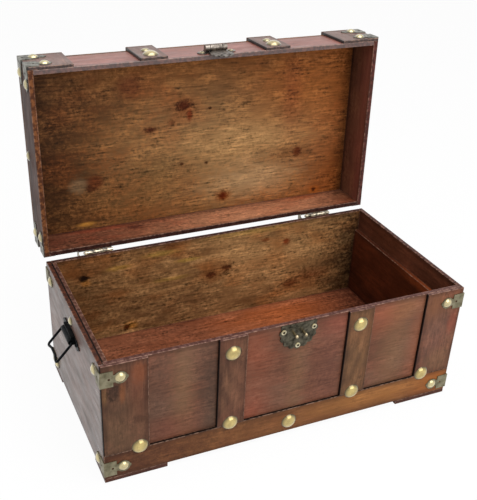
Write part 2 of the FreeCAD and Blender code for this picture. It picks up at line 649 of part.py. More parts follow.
keep("hasp_plate", bored("hasp", joined("hasp_body", plate), [hasp_bore] + hasp_holes), OPEN)
hasp_pin = peg("hasp_pin_shaft", "hasp_pin_radius", "hasp_barrel_length",
               (hasp_left, HASP_Y, HASP_Z, "right"))
keep("hasp_pin", gathered("hasp_pin_set", [hasp_pin]), OPEN)

flap_back = f"({HASP_Y} + hasp_knuckle_radius)"
flap_face = f"({flap_back} - lock_sheet)"
flap_centre = f"{LID_RIM} - flap_centre_drop"
neck_top = f"{HASP_Z} - hasp_knuckle_radius - flap_neck_gap"
flap = [block("flap_neck", ("lock_shift - flap_neck_width / 2", flap_face, flap_centre),
              ("lock_shift + flap_neck_width / 2", flap_back, neck_top)),
        block("flap_web", (flap_left, flap_face, flap_centre), (flap_right, flap_back, HASP_Z)),
        peg("flap_knuckle", "hasp_knuckle_radius", "flap_knuckle_length",
            (flap_left, HASP_Y, HASP_Z, "right")),
        peg("flap_disc", "flap_radius", "lock_sheet", ("lock_shift", flap_back, flap_centre, "front"))]
for lobe in range(9):
    angle = f"({lobe} * 30 - 30)"
    lobe_x = f"lock_shift + flap_lobe_ring * cos({angle})"
    lobe_z = f"{flap_centre} - flap_lobe_ring * sin({angle})"
    flap.append(peg(f"flap_lobe_{lobe}", "flap_lobe", "lock_sheet", (lobe_x, flap_back, lobe_z, "front")))
flap_holes = [peg(f"flap_hole_{count}", "flap_hole_radius", "lock_sheet + 2 * hole_relief",
                  (x, flap_back, z, way), "hole_relief") for count, (x, y, z, way) in enumerate(prongs)]
keep("hasp_flap", bored("flap", joined("flap_body", flap), [hasp_bore] + flap_holes), OPEN)

# Handle plate: a bar with an eye and a tip at each end and a hooded sleeve for the bail
sleeve_end = "sleeve_length / 2"
handle = [block("handle_bar", ("-handle_plate_thick", "-handle_eye_spread / 2", "-handle_plate_height / 2"),
                ("0", "handle_eye_spread / 2", "handle_plate_height / 2")),
          block("sleeve_foot", ("-bail_standoff", f"-{sleeve_end}", "-sleeve_radius"),
                ("0", sleeve_end, "sleeve_hood")),
          peg("sleeve", "sleeve_radius", "sleeve_length", ("-bail_standoff", f"-{sleeve_end}", "0", "back"))]
handle_bores = [peg("bail_bore", "bail_wire_radius + bail_clearance", "sleeve_length + 2 * hole_relief",
                    ("-bail_standoff", f"-{sleeve_end}", "0", "back"), "hole_relief")]
for count, side in enumerate((-1, 1)):
    eye = ("0", f"({side}) * handle_eye_spread / 2", "0", "left")
    tip = ("0", f"({side}) * handle_tip_spread / 2", "0", "left")
    handle.append(peg(f"handle_eye_{count}", "handle_eye_radius", "handle_plate_thick", eye))
    handle.append(peg(f"handle_tip_{count}", "handle_tip_radius", "handle_plate_thick", tip))
    handle_bores.append(peg(f"handle_tack_hole_{count}", SHANK_HOLE, "handle_plate_thick + 2 * hole_relief",
                            eye, "hole_relief"))
handle_plate = bored("handle_plate", joined("handle_body", handle), handle_bores)
for across, x, turn in (("left", LEFT, "up"), ("right", RIGHT, "half")):
    spot = [(x, "0", HANDLE_Z, turn)]
    keep(f"{across}_handle_plate", copies(f"{across}_handle_set", handle_plate, spot))


def bent_wire(points, bend_radius, wire_radius):
    """Round wire that follows a chain of points with every bend rounded to one radius."""
    edges = []
    start = points[0]
    for before, corner, after in zip(points, points[1:], points[2:]):
        arrive = (corner - before).normalize()
        leave = (after - corner).normalize()
        cutback = bend_radius * math.tan(arrive.getAngle(leave) / 2)
        first = corner - arrive * cutback
        last = corner + leave * cutback
        inward = (leave - arrive).normalize()
        centre = corner + inward * math.hypot(bend_radius, cutback)
        edges.append(Part.makeLine(start, first))
        edges.append(Part.Arc(first, centre - inward * bend_radius, last).toShape())
        start = last
    edges.append(Part.makeLine(start, points[-1]))
    section = Part.Wire(Part.makeCircle(wire_radius, points[0], points[1] - points[0]))
    return Part.Wire(edges).makePipeShell([section], True, False)


# Bails: drawn hanging from the pivot line, then leaned outward about it
half_width = sheet.bail_width / 2
drop = sheet.bail_drop
half_grip = sheet.bail_grip / 2
half_pivot = sheet.bail_pivot_spread / 2
right_half = [(half_pivot, 0), (half_width, 0), (half_width, drop), (half_grip, drop - sheet.bail_dip)]
chain = [(-y, s) for y, s in right_half] + right_half[::-1]
bail_points = [FreeCAD.Vector(0, y, -s) for y, s in chain]
for across, x, lean in (("left", f"{LEFT} - bail_standoff", "bail_lean"),
                        ("right", f"{RIGHT} + bail_standoff", "-bail_lean")):
    bail = doc.addObject("Part::Feature", f"{across}_bail")
    bail.Shape = bent_wire(bail_points, sheet.bail_bend, sheet.bail_wire_radius)
    lean_turn = f"rotation(vector(0; 1; 0); {lean})"
    keep(f"{across}_handle_bail", bail, f"placement(vector({x}; 0; {HANDLE_Z}); {lean_turn})")

doc.recompute()
for thing in doc.Objects:
    if "Invalid" in thing.State or "Error" in thing.State:
        raise RuntimeError(f"{thing.Name} did not compute")
os.makedirs("parts", exist_ok=True)
for node in nodes:
    if node.Shape.isNull() or not node.Shape.isValid():
        raise RuntimeError(f"{node.Label} has no sound shape")
    node.Shape.exportStep(f"parts/{node.Label}.step")
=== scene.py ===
"""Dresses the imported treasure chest: stained and lacquered boards, brass studs, aged fittings, and a studio.

Metres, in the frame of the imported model: X runs across the front, the front faces -Y and Z is up.
"""
import json
import math

import bpy
import numpy as np
from mathutils import Matrix, Vector

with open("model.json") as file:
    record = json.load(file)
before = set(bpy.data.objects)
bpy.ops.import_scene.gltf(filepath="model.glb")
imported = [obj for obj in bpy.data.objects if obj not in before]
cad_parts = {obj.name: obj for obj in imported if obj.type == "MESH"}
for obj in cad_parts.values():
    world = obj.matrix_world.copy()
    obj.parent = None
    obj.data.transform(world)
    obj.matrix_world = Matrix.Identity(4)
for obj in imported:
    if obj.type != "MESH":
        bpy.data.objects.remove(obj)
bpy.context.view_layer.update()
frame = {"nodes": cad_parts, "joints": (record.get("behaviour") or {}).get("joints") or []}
nodes = frame["nodes"]


# Case boards: thin softwood, butted and pinned, stained by hand and lacquered satin.
# Outside they are red-brown with olive and orange patches; inside, the back shows paler knotty wood.
X, Y, Z = range(3)
lid_joint = next(joint for joint in frame["joints"] if joint["name"] == "lid_hinge")
LID_TURN = math.radians(-lid_joint["range_deg"][1])


def linear(code):
    """An sRGB hex colour as linear RGBA: each channel is the sRGB curve undone."""
    channels = [int(code[start:start + 2], 16) / 255 for start in (1, 3, 5)]
    return tuple(c / 12.92 if c <= 0.04045 else ((c + 0.055) / 1.055) ** 2.4 for c in channels) + (1.0,)


def add(tree, kind, settings, inputs):
    """Adds a node to a tree with its settings, and gives each input, by name or number, a value or a link.

    A colour Mix has its share at input 0, its colours at 6 and 7, and its result at output 2. A Map Range has
    the value at 0, the range it comes from at 1 and 2, and the range it goes to at 3 and 4.
    """
    node = tree.nodes.new("ShaderNode" + kind)
    for name, value in settings.items():
        setattr(node, name, value)
    for name, value in inputs.items():
        if isinstance(value, bpy.types.NodeSocket):
            tree.links.new(value, node.inputs[name])
        else:
            node.inputs[name].default_value = value
    return node


def dress(names, material):
    """Gives CAD nodes a material in place of the one they came with."""
    for name in names:
        nodes[name].material_slots[0].material = material


def stained_board(name, grain, outside, inside=None, inner=None, rims=(), seams_and_shaded_sides=(), lid=False, marks=(),
                  roughness=0.42, shine=0.1, figure=0.6, texture=0.6, pith=None, flecks=0.0, seed=0.0):
    """Stained softwood for one board, in the board's own coordinates, with the grain along one axis.

    A stain is three colours: dark, light and the tint of its patches. The tone between dark and light is a
    sum of blotches, of mottles and streaks as strong as the figure, and of growth rings. The rings follow a
    drawn-out noise, or circle a leaning pith line (axis across, offset, depth, slope), which cuts to arches.
    Fibres and crumbs as strong as the texture then lighten and darken the stain, and flecks is how dark torn
    spots are. inside is a second stain for the face on the inner side, given as (axis, sign). Rims are narrow
    faces with two colours of their own: (axis, sign, colour, rubbed). Seams and shaded sides are faces
    (axis, sign) painted near black: on side boards and liners a dirty seam against another board, and on the
    straps their left sides, where the black is painted shade beside the strap's raised edge. Marks are soft
    ellipsoids: (centre, radii, colour, depth). shine is how much the lacquer reflects, and the seed gives each
    board a noise of its own.
    """
    turn = LID_TURN if lid else 0.0
    spin = np.array(Matrix.Rotation(turn, 3, "X"))
    points = np.zeros(len(nodes[name].data.vertices) * 3, np.float32)
    nodes[name].data.vertices.foreach_get("co", points)
    own = points.reshape(-1, 3) @ spin
    half = (own.max(0) - own.min(0)) / 2
    centre = spin @ ((own.max(0) + own.min(0)) / 2)

    material = bpy.data.materials.new("stained_pine_" + name)
    material.use_nodes = True
    tree = material.node_tree
    shader = tree.nodes["Principled BSDF"]
    place = add(tree, "TexCoord", {}, {}).outputs["Object"]
    local = add(tree, "Mapping", {"vector_type": "TEXTURE"},
                {"Vector": place, "Location": tuple(centre), "Rotation": (turn, 0, 0)}).outputs[0]
    parts = add(tree, "SeparateXYZ", {}, {0: local}).outputs

    def noise(stretch, per_metre, detail, shift):
        """Noise with so many spots to the metre, which the stretch draws out along the grain."""
        draw = [1.0, 1.0, 1.0]
        draw[grain] = stretch
        run = add(tree, "Mapping", {}, {"Vector": local, "Scale": tuple(draw)}).outputs[0]
        return add(tree, "TexNoise", {"noise_dimensions": "4D"},
                   {"Vector": run, "W": seed + shift, "Scale": per_metre, "Detail": detail,
                    "Roughness": 0.65, "Distortion": 0.3}).outputs[0]

    # Stain takes unevenly: blotches are 59 mm wide, mottles 22 mm, streaks 12 mm and tinted patches 42 mm.
    # Fibres of 2.5 mm and crumbs of 4 mm stand for finer ones, and are drawn as coarse as they need to show
    blotch = noise(0.5, 17.0, 3.0, 7.0)
    mottle = noise(0.6, 45.0, 3.0, 9.0)
    streak = noise(0.3, 85.0, 4.0, 1.0)
    fibre = noise(0.1, 400.0, 4.0, 3.0)
    crumb = noise(0.85, 260.0, 4.0, 13.0)
    patch = noise(0.6, 24.0, 2.0, 11.0)
    tone = add(tree, "MapRange", {"clamp": False}, {0: blotch, 1: 0.3, 2: 0.7, 3: 0.1, 4: 0.9}).outputs[0]
    for layer, share in ((mottle, 1.6 * figure), (streak, 1.2 * figure)):
        part = add(tree, "Math", {"operation": "SUBTRACT"}, {0: layer, 1: 0.5}).outputs[0]
        tone = add(tree, "Math", {"operation": "MULTIPLY_ADD"}, {0: part, 1: share, 2: tone}).outputs[0]

    # Growth rings are the sine of a phase: 8 mm apart round a pith, or else seven in the noise's full swing
    ring_gap = 0.008
    swell_phase = 46.0
    swell = noise(0.07, 22.0, 2.0, 0.0)
    if pith:
        across, offset, depth, slope = pith
        aside = add(tree, "Math", {"operation": "ADD"}, {0: parts[across], 1: offset}).outputs[0]
        below = add(tree, "Math", {"operation": "MULTIPLY_ADD"},
                    {0: parts[grain], 1: slope, 2: depth}).outputs[0]
        below = add(tree, "Math", {"operation": "MULTIPLY_ADD"}, {0: swell, 1: 0.03, 2: below}).outputs[0]
        reach = add(tree, "CombineXYZ", {}, {0: aside, 1: below}).outputs[0]
        reach = add(tree, "VectorMath", {"operation": "LENGTH"}, {0: reach}).outputs["Value"]
        phase = add(tree, "Math", {"operation": "MULTIPLY"}, {0: reach, 1: 2 * math.pi / ring_gap}).outputs[0]
    else:
        phase = add(tree, "Math", {"operation": "MULTIPLY"}, {0: swell, 1: swell_phase}).outputs[0]
    rings = add(tree, "Math", {"operation": "SINE"}, {0: phase}).outputs[0]
    tone = add(tree, "Math", {"operation": "MULTIPLY_ADD", "use_clamp": True},
               {0: rings, 1: 0.15 if pith else 0.1, 2: tone}).outputs[0]
    tinted = add(tree, "MapRange", {}, {0: patch, 1: 0.46, 2: 0.66, 3: 0.0, 4: 0.7}).outputs[0]

    def stain(colours):
        """The stain's dark and light colours mixed by the tone of the wood, under its patches."""
        dark, light, tint = [linear(code) for code in colours]
        wood = add(tree, "Mix", {"data_type": "RGBA"}, {0: tone, 6: dark, 7: light}).outputs[2]
        return add(tree, "Mix", {"data_type": "RGBA"}, {0: tinted, 6: wood, 7: tint}).outputs[2]

    colour = stain(outside)
    if inside:
        axis, sign = inner
        side = add(tree, "Math", {"operation": "MULTIPLY"}, {0: parts[axis], 1: float(sign)}).outputs[0]
        within = add(tree, "Math", {"operation": "GREATER_THAN"}, {0: side, 1: 0.0}).outputs[0]
        colour = add(tree, "Mix", {"data_type": "RGBA"}, {0: within, 6: colour, 7: stain(inside)}).outputs[2]

    # Knots and pools of stain, and on some boards painted shade and painted light, crisp where they are small.
    # The streaks and crumbs that break their edges add about 0.9 to the reach, which would otherwise be 1 at
    # the radii
    small = 0.025
    brink = 1.7
    for where, radii, code, depth in marks:
        soft = 0.5 if max(radii) < small else 0.9
        away = add(tree, "VectorMath", {"operation": "SUBTRACT"}, {0: local, 1: where}).outputs[0]
        away = add(tree, "VectorMath", {"operation": "DIVIDE"}, {0: away, 1: radii}).outputs[0]
        reach = add(tree, "VectorMath", {"operation": "LENGTH"}, {0: away}).outputs["Value"]
        reach = add(tree, "Math", {"operation": "MULTIPLY_ADD"}, {0: streak, 1: 0.6, 2: reach}).outputs[0]
        reach = add(tree, "Math", {"operation": "MULTIPLY_ADD"}, {0: crumb, 1: 1.2, 2: reach}).outputs[0]
        cover = add(tree, "MapRange", {"interpolation_type": "SMOOTHSTEP"},
                    {0: reach, 1: brink - soft, 2: brink + soft / 2, 3: depth, 4: 0.0}).outputs[0]
        colour = add(tree, "Mix", {"data_type": "RGBA"}, {0: cover, 6: colour, 7: linear(code)}).outputs[2]

    # Fibres and crumbs lighten and darken whatever stain lies on them, more so in the rougher spots
    darkest = 0.2
    grip = add(tree, "Math", {"operation": "MULTIPLY_ADD"}, {0: crumb, 1: 0.8, 2: fibre}).outputs[0]
    grip = add(tree, "Math", {"operation": "SUBTRACT"}, {0: grip, 1: 0.9}).outputs[0]
    force = add(tree, "MapRange", {},
                {0: mottle, 1: 0.35, 2: 0.65, 3: 0.8 * texture, 4: 3.2 * texture}).outputs[0]
    grip = add(tree, "Math", {"operation": "MULTIPLY_ADD"}, {0: grip, 1: force, 2: 1.0}).outputs[0]
    grip = add(tree, "Math", {"operation": "MAXIMUM"}, {0: grip, 1: darkest}).outputs[0]
    colour = add(tree, "VectorMath", {"operation": "SCALE"}, {0: colour, "Scale": grip}).outputs[0]

    # Short dark flecks where the plane tore the surface, about 3 mm wide
    if flecks:
        torn_colour = linear("#33200f")
        torn = noise(0.3, 300.0, 1.0, 5.0)
        torn = add(tree, "MapRange", {}, {0: torn, 1: 0.63, 2: 0.75, 3: 0.0, 4: flecks}).outputs[0]
        colour = add(tree, "Mix", {"data_type": "RGBA"}, {0: torn, 6: colour, 7: torn_colour}).outputs[2]

    # Stain pools towards the edges, and the same darkening is painted shade in the inside corners where boards
    # meet. The second smallest distance to a face is the distance to an edge
    pool_and_shade_width = 0.007
    pool_and_shade_colour = linear("#2a1712")
    inward = add(tree, "VectorMath", {"operation": "ABSOLUTE"}, {0: local}).outputs[0]
    inward = add(tree, "VectorMath", {"operation": "SUBTRACT"}, {0: tuple(half), 1: inward}).outputs[0]
    gaps = add(tree, "SeparateXYZ", {}, {0: inward}).outputs
    least = add(tree, "Math", {"operation": "MINIMUM"}, {0: gaps[0], 1: gaps[1]}).outputs[0]
    most = add(tree, "Math", {"operation": "MAXIMUM"}, {0: gaps[0], 1: gaps[1]}).outputs[0]
    most = add(tree, "Math", {"operation": "MINIMUM"}, {0: most, 1: gaps[2]}).outputs[0]
    edge = add(tree, "Math", {"operation": "MAXIMUM"}, {0: least, 1: most}).outputs[0]
    pooled_and_shaded = add(tree, "MapRange", {}, {0: edge, 1: 0.0, 2: pool_and_shade_width, 3: 0.5, 4: 0.0}).outputs[0]
    colour = add(tree, "Mix", {"data_type": "RGBA"}, {0: pooled_and_shaded, 6: colour, 7: pool_and_shade_colour}).outputs[2]

    # Rims and arrises are rubbed lighter in specks of about 4 mm. Seams are dirty, and a strap's left side is
    # black with painted shade. A rim, a seam or a shaded side colours about the outermost millimetre
    specks_per_metre = 260.0
    rim_start, rim_full = 0.0008, 0.0003
    seam_and_shade_start, seam_and_shade_full = 0.0013, 0.0006
    arris_width = 0.0011
    arris_colour = linear("#a88672")
    dirt_and_shade_colour = linear("#120a08")
    speck = add(tree, "TexNoise", {"noise_dimensions": "4D"},
                {"Vector": local, "W": seed, "Scale": specks_per_metre, "Detail": 2.0}).outputs[0]
    speck = add(tree, "MapRange", {}, {0: speck, 1: 0.42, 2: 0.62, 3: 0.1, 4: 0.7}).outputs[0]
    for axis, sign, code, rubbed in rims:
        side = add(tree, "Math", {"operation": "MULTIPLY"}, {0: parts[axis], 1: float(sign)}).outputs[0]
        top = add(tree, "MapRange", {},
                  {0: side, 1: half[axis] - rim_start, 2: half[axis] - rim_full}).outputs[0]
        face = add(tree, "Mix", {"data_type": "RGBA"},
                   {0: speck, 6: linear(code), 7: linear(rubbed)}).outputs[2]
        colour = add(tree, "Mix", {"data_type": "RGBA"}, {0: top, 6: colour, 7: face}).outputs[2]
    worn = add(tree, "MapRange", {}, {0: edge, 1: 0.0, 2: arris_width, 3: 1.0, 4: 0.0}).outputs[0]
    worn = add(tree, "Math", {"operation": "MULTIPLY"}, {0: worn, 1: speck}).outputs[0]
    colour = add(tree, "Mix", {"data_type": "RGBA"}, {0: worn, 6: colour, 7: arris_colour}).outputs[2]
    # Near black: dirty seams, and painted shade on the straps' left sides
    for axis, sign in seams_and_shaded_sides:
        side = add(tree, "Math", {"operation": "MULTIPLY"}, {0: parts[axis], 1: float(sign)}).outputs[0]
        dirt_and_shade = add(tree, "MapRange", {},
                   {0: side, 1: half[axis] - seam_and_shade_start, 2: half[axis] - seam_and_shade_full}).outputs[0]
        colour = add(tree, "Mix", {"data_type": "RGBA"}, {0: dirt_and_shade, 6: colour, 7: dirt_and_shade_colour}).outputs[2]
    tree.links.new(colour, shader.inputs["Base Color"])

    # Satin lacquer over it, smoother on the light streaks, with the fibres and rings felt through it
    rough = add(tree, "MapRange", {},
                {0: streak, 1: 0.3, 2: 0.7, 3: roughness + 0.1, 4: roughness - 0.1}).outputs[0]
    tree.links.new(rough, shader.inputs["Roughness"])
    relief = add(tree, "Math", {"operation": "MULTIPLY_ADD"}, {0: rings, 1: 0.15, 2: fibre}).outputs[0]
    bump = add(tree, "Bump", {}, {"Strength": 0.25, "Distance": 0.0006, "Height": relief}).outputs[0]
    tree.links.new(bump, shader.inputs["Normal"])
    shader.inputs["IOR"].default_value = 1.45
    shader.inputs["Specular IOR Level"].default_value = shine
    dress([name], material)


def on_face(axis, level, rows, skin=0.004):
    """Marks on the face of a board across an axis, at a level from the board's middle, as deep as the skin.

    A row is the place and the radii along the other two axes, the colour and how much of it covers the stain.
    """
    marks = []
    for first, second, first_radius, second_radius, code, depth in rows:
        where = [first, second]
        radii = [first_radius, second_radius]
        where.insert(axis, level)
        radii.insert(axis, skin)
        marks.append((where, radii, code, depth))
    return marks


RED_BROWN = ("#513527", "#7a4e3c", "#6c5040")
# Greyer and lighter than the front: partly painted sheen of the lacquer
TAN = ("#5c3a20", "#b68a5a", "#945a2e")
DARK_BROWN = ("#3a241d", "#6a4335", "#5c3626")
SIDE_BROWN_AND_SHEEN = ("#4a342c", "#7d5c4e", "#5e4a3e")
DARK_RIM = "#2c1815"
FRONT_POOLS = on_face(Y, -0.003, [
    (-0.162, 0.010, 0.026, 0.120, "#584034", 0.65),
    (-0.133, 0.020, 0.018, 0.110, "#7c6044", 0.45),
    (-0.098, 0.000, 0.024, 0.120, "#46382f", 0.75),
    (-0.148, -0.032, 0.040, 0.026, "#744232", 0.55),
    (-0.048, 0.050, 0.034, 0.050, "#8c4a34", 0.55),
    (0.006, 0.000, 0.016, 0.100, "#7a5c40", 0.40),
    (-0.050, -0.032, 0.030, 0.034, "#8a4430", 0.55),
    (0.050, 0.010, 0.030, 0.110, "#643f34", 0.55),
    (0.062, 0.062, 0.040, 0.024, "#8a4a3a", 0.55),
    (0.118, 0.058, 0.040, 0.030, "#985238", 0.60),
    (0.150, 0.062, 0.030, 0.020, "#94603e", 0.50),
    (0.138, 0.000, 0.030, 0.100, "#7e6044", 0.45),
    (0.172, 0.000, 0.018, 0.100, "#8c543c", 0.60),
])
BACK_KNOTS_AND_SHADE = on_face(Y, -0.003, [
    (-0.225, 0.000, 0.130, 0.200, "#4c2c16", 0.65),
    (-0.110, 0.030, 0.070, 0.050, "#6e4a2a", 0.45),
    (-0.050, -0.030, 0.090, 0.036, "#64422a", 0.45),
    (0.100, 0.020, 0.140, 0.070, "#a47a4e", 0.45),
    # Near-black right end: painted shade in the corner by the right side
    (0.228, -0.010, 0.080, 0.200, "#1c0d06", 0.95),
    (0.050, 0.074, 0.080, 0.008, "#b8924e", 0.70),
    (-0.080, 0.062, 0.030, 0.005, "#b08c42", 0.60),
    (-0.040, 0.046, 0.024, 0.004, "#b08c42", 0.60),
    (-0.065, 0.022, 0.030, 0.004, "#a8843c", 0.55),
    (-0.135, 0.052, 0.024, 0.005, "#a47a34", 0.55),
    (-0.178, 0.038, 0.009, 0.006, "#9c642c", 0.70),
    (-0.181, 0.046, 0.009, 0.006, "#160a04", 0.98),
    (-0.121, -0.038, 0.013, 0.009, "#ac7028", 0.75),
    (-0.127, -0.040, 0.006, 0.005, "#4a200c", 0.95),
    (0.002, 0.019, 0.036, 0.016, "#6e3c1a", 0.70),
    (-0.007, 0.016, 0.010, 0.007, "#48200e", 0.90),
    (0.015, 0.023, 0.010, 0.007, "#48200e", 0.85),
    (0.104, 0.047, 0.008, 0.007, "#6a2a10", 0.90),
    (0.072, 0.055, 0.010, 0.004, "#6a3216", 0.75),
    (0.149, -0.015, 0.034, 0.014, "#5c2812", 0.75),
    (0.116, -0.022, 0.016, 0.009, "#5a2a12", 0.75),
])
stained_board("base_front_panel", X, RED_BROWN, DARK_BROWN, (Y, 1), rims=[(Z, 1, "#442923", "#70504a")],
              marks=FRONT_POOLS, figure=0.4, seed=1.0)
stained_board("base_back_panel", X, DARK_BROWN, TAN, (Y, -1), rims=[(Z, 1, DARK_RIM, "#5a3a30")],
              marks=BACK_KNOTS_AND_SHADE, roughness=0.5, figure=0.8, texture=1.4, flecks=0.3, seed=2.0)
stained_board("base_left_side", Y, SIDE_BROWN_AND_SHEEN, rims=[(Z, 1, "#2c1712", "#623420")], seams_and_shaded_sides=[(X, 1)],
              roughness=0.36, shine=0.5, seed=3.0)
stained_board("base_right_side", Y, SIDE_BROWN_AND_SHEEN, ("#44271c", "#774632", "#542e1e"), (X, -1),
              rims=[(Z, 1, DARK_RIM, "#6e4a40")], seed=4.0)


# Bottom and liners: thinner inner boards, stained deep red and hardly lacquered.
# The left liner reaches the rim and makes it double there; the right one stops well below it.
FLOOR_RED = ("#633522", "#985f44", "#844c33")
DEEP_RED = ("#36190e", "#63301b", "#4b2213")
FLOOR_POOLS_AND_SHADE = on_face(Z, 0.004, [
    (0.090, 0.080, 0.130, 0.050, "#a8582a", 0.60),
    # Dark red by the right side: painted shade near the wall
    (0.230, 0.040, 0.110, 0.260, "#34100a", 0.90),
    (-0.220, 0.000, 0.200, 0.300, "#553020", 0.60),
])
LINER_PAINTED_LIGHT = on_face(X, 0.0, skin=0.020, rows=[
    # Orange strip along the top towards the front: painted light
    (-0.108, 0.047, 0.120, 0.012, "#b45a2c", 0.85),
])
stained_board("base_bottom_panel", X, FLOOR_RED, marks=FLOOR_POOLS_AND_SHADE, roughness=0.45, texture=1.2, seed=5.0)
stained_board("base_left_liner", Y, DEEP_RED, rims=[(Z, 1, "#382018", "#765448")], seams_and_shaded_sides=[(X, -1)],
              roughness=0.5, seed=6.0)
stained_board("base_right_liner", Y, DEEP_RED, marks=LINER_PAINTED_LIGHT, roughness=0.5, seed=7.0)


# Band, straps and feet: flat brown strips, glued and nailed over the front and under the corners.
# The grain runs along each strip; the straps are cut near the heart of the log, so the rings show as arches.
ORANGE_BROWN = ("#5a3620", "#845834", "#784a2c")
STRAP_BROWN = ("#402b22", "#724f3b", "#6a4434")
STRAP_OLIVE = ("#4c3526", "#7c593c", "#785036")
STRAP_RED = ("#503328", "#82563f", "#7e4c37")
PITH_DEPTH = 0.012
PITH_SLOPE = -0.22
BAND_POOLS = on_face(Y, -0.002, [
    (-0.215, 0.000, 0.150, 0.080, "#4c2e22", 0.80),
    (0.205, 0.004, 0.050, 0.040, "#98521f", 0.60),
    (0.120, 0.004, 0.120, 0.020, "#a8703a", 0.55),
])
STRAP_POOLS = {
    "left_corner": on_face(Y, -0.002, [
        (-0.008, -0.040, 0.044, 0.070, "#5a4432", 0.70),
        (0.014, 0.020, 0.014, 0.048, "#683e2c", 0.50),
        (0.014, -0.018, 0.012, 0.007, "#3a261c", 0.40),
        (0.016, 0.044, 0.012, 0.022, "#82482c", 0.50),
        (-0.003, 0.022, 0.005, 0.018, "#7c4a2c", 0.60),
        (-0.023, 0.022, 0.005, 0.016, "#7c5a3a", 0.60),
        (-0.013, 0.024, 0.009, 0.016, "#2e2019", 0.75),
    ]),
    "right_corner": on_face(Y, -0.002, [
        (-0.003, 0.000, 0.034, 0.060, "#664a40", 0.60),
        (-0.012, 0.042, 0.024, 0.026, "#7c5034", 0.60),
        (0.018, 0.012, 0.010, 0.024, "#824434", 0.60),
        (0.006, -0.042, 0.024, 0.024, "#72543c", 0.50),
    ]),
}
# The band's top, in the step below the panels, is near black: painted shade there, with stain pooled in it
stained_board("front_bottom_band", X, ORANGE_BROWN, rims=[(Z, 1, "#120a07", "#1c100c")], marks=BAND_POOLS,
              seed=8.0)
for count, (strap, stain, pith_offset) in enumerate((
        ("left_corner", STRAP_BROWN, 0.006),
        ("left_mid", STRAP_BROWN, -0.012),
        ("right_mid", STRAP_OLIVE, 0.020),
        ("right_corner", STRAP_RED, -0.004))):
    # The black left side of each strap is painted shade beside its raised edge
    stained_board(f"base_{strap}_strap", Z, stain, rims=[(Z, 1, "#442923", "#70504a")], seams_and_shaded_sides=[(X, -1)],
                  marks=STRAP_POOLS.get(strap, ()), figure=0.4,
                  pith=(X, pith_offset, PITH_DEPTH, PITH_SLOPE), seed=10.0 + count)
for count, foot in enumerate(("front_left", "front_right", "back_left", "back_right")):
    stained_board(f"{foot}_foot", X, DARK_BROWN, seed=15.0 + count)


# Lid boards: four walls under a top panel, of the case's softwood and put together the same way.
# The inside of the top is the large tan panel with the knots; the front board is redder and shinier, and its
# pink, like the purple-grey of the front straps, is partly painted sheen.
# Straps run down the front in line with those of the case, and on over the top.
# Pink and purple-grey stains: partly painted sheen of the light above
LID_RED_AND_SHEEN = ("#63382e", "#93574b", "#7c4a3a")
LID_STRAP_AND_SHEEN = ("#503a33", "#785a50", "#704e44")
LID_TAN = ("#4e2e18", "#9e6a3c", "#864c26")
TOP_KNOTS_LIGHT_AND_SHADE = on_face(Z, -0.003, [
    # Dark left end: painted shade from the lid's left side, with some darker stain
    (-0.240, 0.000, 0.150, 0.700, "#2a180c", 0.88),
    (0.240, -0.020, 0.180, 0.600, "#8a481e", 0.75),
    (0.050, -0.120, 0.300, 0.060, "#8c521f", 0.60),
    # Pale middle: partly painted light, partly paler wood
    (0.030, 0.020, 0.180, 0.100, "#b08a5c", 0.55),
    (0.072, 0.015, 0.100, 0.030, "#b8905e", 0.50),
    (0.075, 0.072, 0.090, 0.036, "#bc9a70", 0.55),
    (0.143, -0.050, 0.110, 0.060, "#9a5c28", 0.60),
    (0.204, 0.080, 0.040, 0.060, "#84481e", 0.50),
    (-0.086, 0.084, 0.070, 0.040, "#684a2a", 0.50),
    (-0.060, 0.045, 0.080, 0.034, "#5c4426", 0.55),
    (-0.166, 0.048, 0.018, 0.014, "#8a6e50", 0.50),
    (0.131, -0.045, 0.020, 0.070, "#74321a", 0.50),
    (-0.158, 0.102, 0.016, 0.004, "#b88034", 0.60),
    (-0.022, -0.037, 0.028, 0.022, "#6e3c1c", 0.65),
    (-0.023, -0.041, 0.015, 0.011, "#441c0a", 0.98),
    (-0.016, -0.028, 0.005, 0.011, "#6a2c12", 0.90),
    (-0.094, -0.073, 0.022, 0.018, "#6b381e", 0.70),
    (-0.069, -0.014, 0.013, 0.006, "#451e0e", 0.95),
    (-0.040, -0.020, 0.008, 0.006, "#532c16", 0.75),
    (-0.144, 0.046, 0.015, 0.013, "#602c14", 0.75),
    (-0.150, 0.054, 0.010, 0.007, "#3e1c0c", 0.80),
    (0.033, 0.091, 0.016, 0.012, "#80481e", 0.80),
    (0.033, 0.091, 0.009, 0.008, "#541c06", 0.98),
    (0.130, 0.043, 0.036, 0.016, "#6e4220", 0.65),
    (0.144, 0.041, 0.009, 0.010, "#582810", 0.98),
    # Dark band by the right side: painted shadow
    (0.222, 0.000, 0.020, 0.700, "#2a1a0e", 0.65),
    (0.175, 0.103, 0.012, 0.008, "#a8561c", 0.70),
    (0.175, 0.102, 0.005, 0.005, "#381406", 0.95),
    (-0.027, 0.037, 0.004, 0.003, "#38190a", 0.95),
    (0.008, 0.040, 0.004, 0.003, "#38190a", 0.95),
    (0.012, -0.034, 0.004, 0.003, "#38190a", 0.95),
])
LID_BACK_POOLS_SHEEN_AND_SHADE = on_face(Y, -0.003, [
    # Pale middle: painted sheen
    (0.040, 0.000, 0.160, 0.080, "#b8805e", 0.55),
    (0.225, 0.000, 0.070, 0.100, "#4c2414", 0.80),
    (-0.210, 0.000, 0.240, 0.100, "#4c2a20", 0.75),
    # Dark line along the corner with the top panel: painted shadow
    (0.000, 0.026, 0.600, 0.016, "#42221a", 0.60),
    (-0.100, 0.008, 0.018, 0.008, "#44201a", 0.80),
    (-0.150, 0.016, 0.050, 0.006, "#964630", 0.60),
    (0.150, 0.016, 0.040, 0.010, "#a0522e", 0.60),
])
